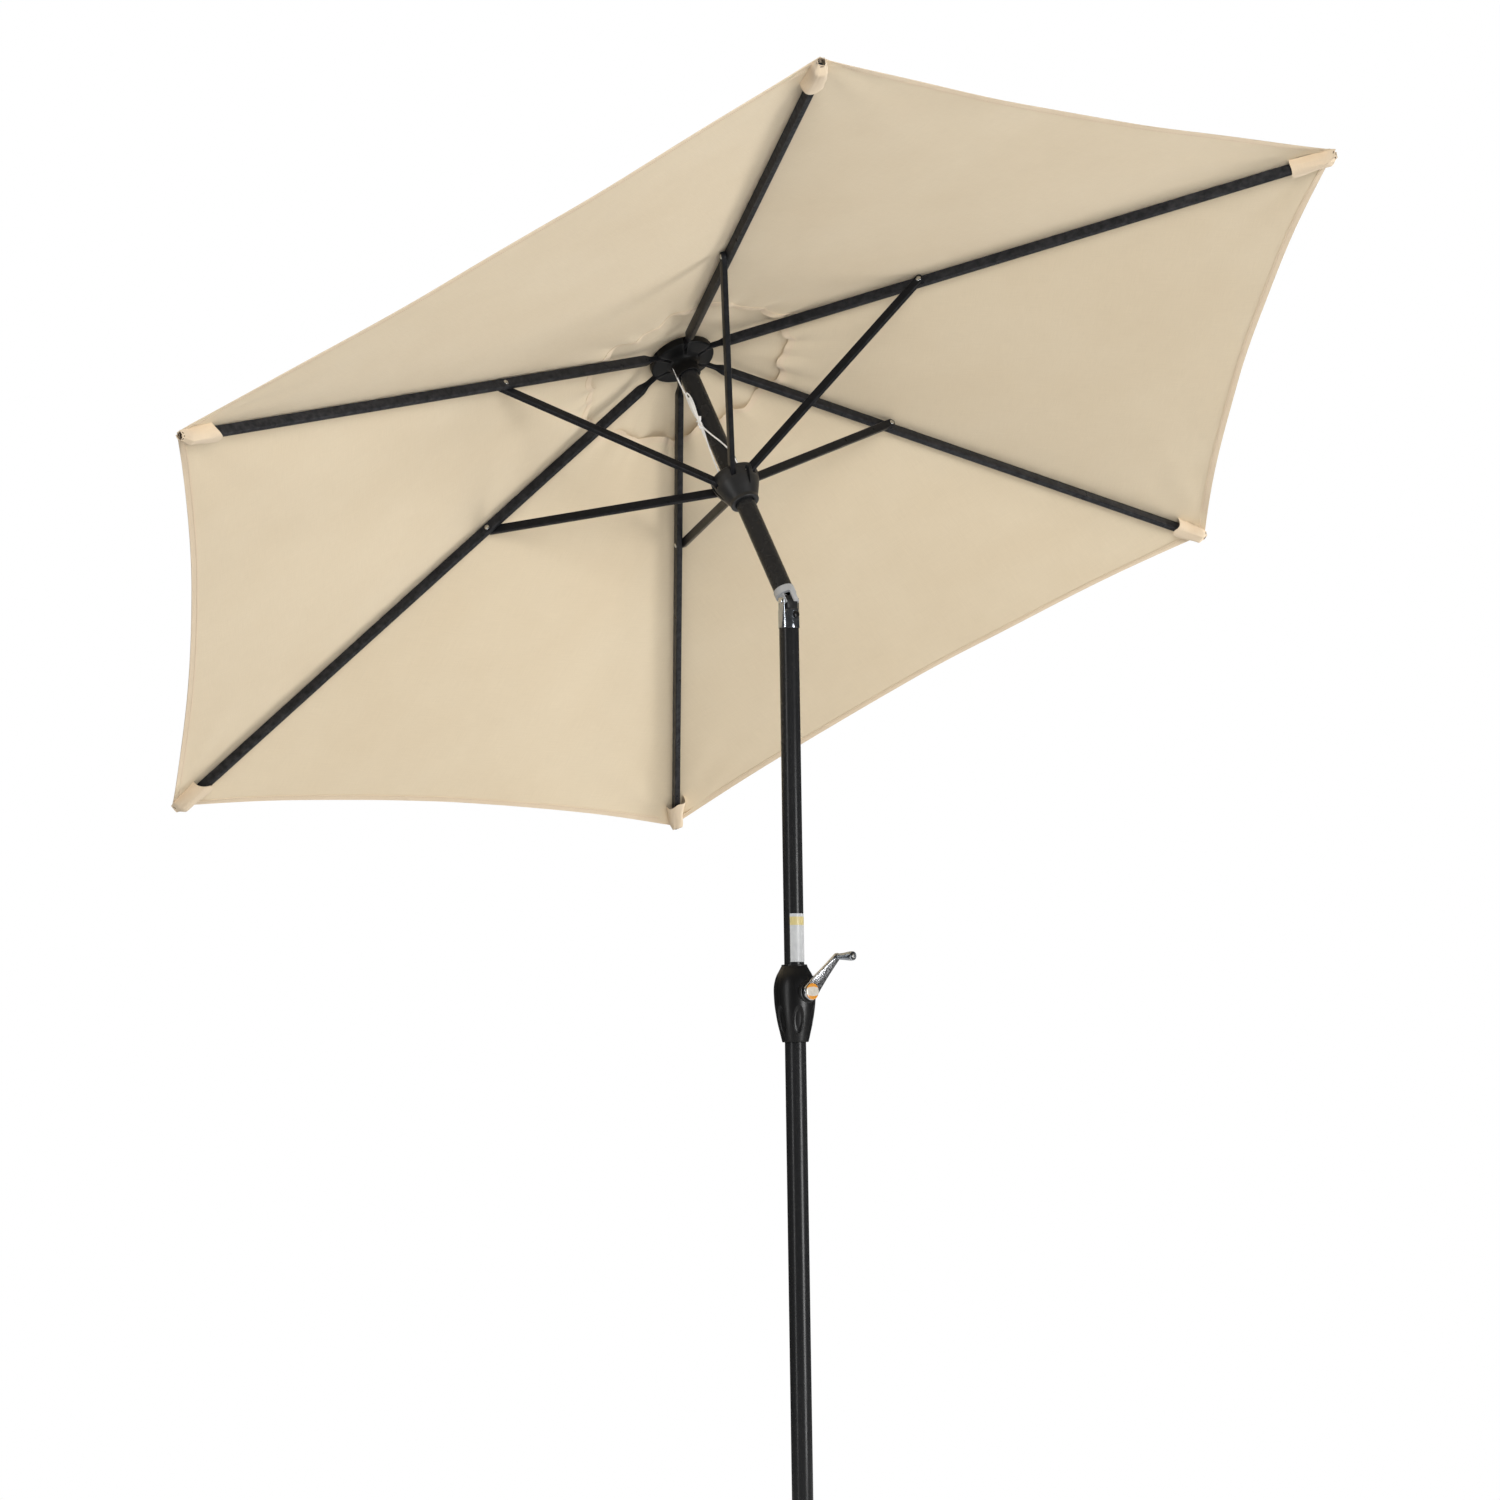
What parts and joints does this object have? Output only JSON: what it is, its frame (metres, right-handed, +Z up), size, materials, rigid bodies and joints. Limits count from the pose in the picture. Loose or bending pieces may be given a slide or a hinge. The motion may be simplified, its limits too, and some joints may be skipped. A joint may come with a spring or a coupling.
{
  "type": "patio umbrella",
  "caption": "Crank-lift tilting patio umbrella with a hexagonal vented canopy, ribs and struts, two-piece pole and round base.",
  "frame": {"origin": "centre of the base plate's underside, on the floor", "axes": "+Z up the lower pole; the canopy tilts towards -X; +X is the crank side"},
  "size_m": [1.9491, 2.6246, 2.8218],
  "materials": {
    "iron": "black textured paint on cast iron",
    "powder_coat": "anthracite powder coat, satin",
    "black_steel": "black powder coat, satin",
    "black_plastic": "moulded black nylon, fine grain",
    "grey_steel": "grey plated steel, satin",
    "chrome": "bright chrome plate",
    "zinc": "zinc plated steel",
    "badge": "plain printed disc with no mark",
    "canvas": "beige woven polyester",
    "cord": "white braided cord"
  },
  "bodies": {
    "base_stand": {"base_plate": "iron", "base_tube": "powder_coat", "base_sleeve": "black_plastic", "clamp_nut": "grey_steel"},
    "clamp_knob": {"clamp_knob": "black_plastic"},
    "lower_mast": {"lower_pole": "powder_coat", "middle_pole": "powder_coat", "crank_housing_front": "black_plastic", "crank_housing_rear": "black_plastic", "tilt_lower_sleeve": "chrome", "tilt_core": "black_plastic", "tilt_pin": "zinc", "tilt_spring": "zinc", "lift_cord_lower": "cord"},
    "crank": {"crank_shaft": "zinc", "crank_spool": "black_plastic", "crank_arm": "chrome", "crank_badge": "badge", "crank_grip_pin": "zinc"},
    "crank_grip": {"crank_grip": "chrome"},
    "tilt_button": {"tilt_button": "black_plastic"},
    "upper_mast": {"upper_pole": "powder_coat", "tilt_upper_bracket": "grey_steel", "top_hub": "black_plastic", "hub_cap": "black_plastic", "hub_ring": "zinc", "pulley_axle": "zinc", "finial": "black_plastic", "vent_cap": "canvas", "lift_cord_upper": "cord"},
    "cord_pulley": {"cord_pulley": "black_plastic"},
    "runner": {"runner": "black_plastic", "runner_ring": "zinc", "lift_cord_bridle": "cord"},
    "rib_arm_1": {"rib_1": "black_steel", "rivet_1": "zinc", "canopy_panel_1": "canvas"},
    "strut_arm_1": {"strut_1": "black_steel"},
    "rib_arm_2": {"rib_2": "black_steel", "rivet_2": "zinc", "canopy_panel_2": "canvas"},
    "strut_arm_2": {"strut_2": "black_steel"},
    "rib_arm_3": {"rib_3": "black_steel", "rivet_3": "zinc", "canopy_panel_3": "canvas"},
    "strut_arm_3": {"strut_3": "black_steel"},
    "rib_arm_4": {"rib_4": "black_steel", "rivet_4": "zinc", "canopy_panel_4": "canvas"},
    "strut_arm_4": {"strut_4": "black_steel"},
    "rib_arm_5": {"rib_5": "black_steel", "rivet_5": "zinc", "canopy_panel_5": "canvas"},
    "strut_arm_5": {"strut_5": "black_steel"},
    "rib_arm_6": {"rib_6": "black_steel", "rivet_6": "zinc", "canopy_panel_6": "canvas"},
    "strut_arm_6": {"strut_6": "black_steel"}
  },
  "joints": [
    {"name": "pole_swivel", "type": "hinge", "parent": "base_stand", "child": "lower_mast", "pos_m": [0, 0, 0.1], "axis": [0, 0, 1], "continuous": true},
    {"name": "knob_turn", "type": "hinge", "parent": "base_stand", "child": "clamp_knob", "pos_m": [0.05, 0, 0.235], "axis": [1, 0, 0], "range_deg": [0, 720]},
    {"name": "crank_turn", "type": "hinge", "parent": "lower_mast", "child": "crank", "pos_m": [0.045, 0, 1.253], "axis": [1, 0, 0], "range_deg": [0, 880]},
    {"name": "grip_spin", "type": "hinge", "parent": "crank", "child": "crank_grip", "pos_m": [0.08, 0.0597, 1.3191], "axis": [1, 0, 0], "continuous": true},
    {"name": "button_press", "type": "slide", "parent": "lower_mast", "child": "tilt_button", "axis": [-1, 0, 0], "range_m": [0, 0.0035], "stiffness_N_per_m": 600, "springref_m": -0.001, "deforming": ["tilt_spring"]},
    {"name": "head_tilt", "type": "hinge", "parent": "lower_mast", "child": "upper_mast", "pos_m": [0, 0, 2], "axis": [0, 1, 0], "range_deg": [0, 31]},
    {"name": "runner_slide", "type": "slide", "parent": "upper_mast", "child": "runner", "axis": [0.515, 0, -0.8572], "range_m": [0, 0.19], "deforming": ["lift_cord_upper"]},
    {"name": "pulley_turn", "type": "hinge", "parent": "upper_mast", "child": "cord_pulley", "pos_m": [-0.30781, -0.01212, 2.49869], "axis": [0.7423, -0.5, 0.446], "range_deg": [0, 1100]},
    {"name": "rib_fold_1", "type": "hinge", "parent": "upper_mast", "child": "rib_arm_1", "pos_m": [-0.27492, 0.0195, 2.52312], "axis": [-0.4286, 0.866, -0.2575], "range_deg": [0, 15], "deforming": ["canopy_panel_1"]},
    {"name": "rib_fold_2", "type": "hinge", "parent": "upper_mast", "child": "rib_arm_2", "pos_m": [-0.27492, -0.0195, 2.52312], "axis": [0.4286, 0.866, 0.2575], "range_deg": [0, 15], "deforming": ["canopy_panel_2"]},
    {"name": "rib_fold_3", "type": "hinge", "parent": "upper_mast", "child": "rib_arm_3", "pos_m": [-0.30387, -0.039, 2.50573], "axis": [0.8572, 0, 0.515], "range_deg": [0, 15], "deforming": ["canopy_panel_3"]},
    {"name": "rib_fold_4", "type": "hinge", "parent": "upper_mast", "child": "rib_arm_4", "pos_m": [-0.33282, -0.0195, 2.48833], "axis": [0.4286, -0.866, 0.2575], "range_deg": [0, 15], "deforming": ["canopy_panel_4"]},
    {"name": "rib_fold_5", "type": "hinge", "parent": "upper_mast", "child": "rib_arm_5", "pos_m": [-0.33282, 0.0195, 2.48833], "axis": [-0.4286, -0.866, -0.2575], "range_deg": [0, 15], "deforming": ["canopy_panel_5"]},
    {"name": "rib_fold_6", "type": "hinge", "parent": "upper_mast", "child": "rib_arm_6", "pos_m": [-0.30387, 0.039, 2.50573], "axis": [-0.8572, 0, -0.515], "range_deg": [0, 15], "deforming": ["canopy_panel_6"]},
    {"name": "strut_fold_1", "type": "hinge", "parent": "runner", "child": "strut_arm_1", "pos_m": [-0.11891, 0.00654, 2.26454], "axis": [0.4286, -0.866, 0.2575], "range_deg": [0, 12]},
    {"name": "strut_fold_2", "type": "hinge", "parent": "runner", "child": "strut_arm_2", "pos_m": [-0.12876, -0.02646, 2.25862], "axis": [-0.4286, -0.866, -0.2575], "range_deg": [0, 12]},
    {"name": "strut_fold_3", "type": "hinge", "parent": "runner", "child": "strut_arm_3", "pos_m": [-0.15819, -0.033, 2.24094], "axis": [-0.8572, 0, -0.515], "range_deg": [0, 12]},
    {"name": "strut_fold_4", "type": "hinge", "parent": "runner", "child": "strut_arm_4", "pos_m": [-0.17776, -0.00654, 2.22918], "axis": [-0.4286, 0.866, -0.2575], "range_deg": [0, 12]},
    {"name": "strut_fold_5", "type": "hinge", "parent": "runner", "child": "strut_arm_5", "pos_m": [-0.1679, 0.02646, 2.23511], "axis": [0.4286, 0.866, 0.2575], "range_deg": [0, 12]},
    {"name": "strut_fold_6", "type": "hinge", "parent": "runner", "child": "strut_arm_6", "pos_m": [-0.13847, 0.033, 2.25279], "axis": [0.8572, 0, 0.515], "range_deg": [0, 12]}
  ],
  "couplings": [
    {"joint": "crank_turn", "follows": "runner_slide", "rad_per_m": 80},
    {"joint": "pulley_turn", "follows": "runner_slide", "rad_per_m": 100},
    {"joint": "rib_fold_1", "follows": "runner_slide", "rad_per_m": 1.2959},
    {"joint": "rib_fold_2", "follows": "runner_slide", "rad_per_m": 1.2959},
    {"joint": "rib_fold_3", "follows": "runner_slide", "rad_per_m": 1.2959},
    {"joint": "rib_fold_4", "follows": "runner_slide", "rad_per_m": 1.2959},
    {"joint": "rib_fold_5", "follows": "runner_slide", "rad_per_m": 1.2959},
    {"joint": "rib_fold_6", "follows": "runner_slide", "rad_per_m": 1.2959},
    {"joint": "strut_fold_1", "follows": "runner_slide", "rad_per_m": 0.98615},
    {"joint": "strut_fold_2", "follows": "runner_slide", "rad_per_m": 0.98615},
    {"joint": "strut_fold_3", "follows": "runner_slide", "rad_per_m": 0.98615},
    {"joint": "strut_fold_4", "follows": "runner_slide", "rad_per_m": 0.98615},
    {"joint": "strut_fold_5", "follows": "runner_slide", "rad_per_m": 0.98615},
    {"joint": "strut_fold_6", "follows": "runner_slide", "rad_per_m": 0.98615}
  ]
}
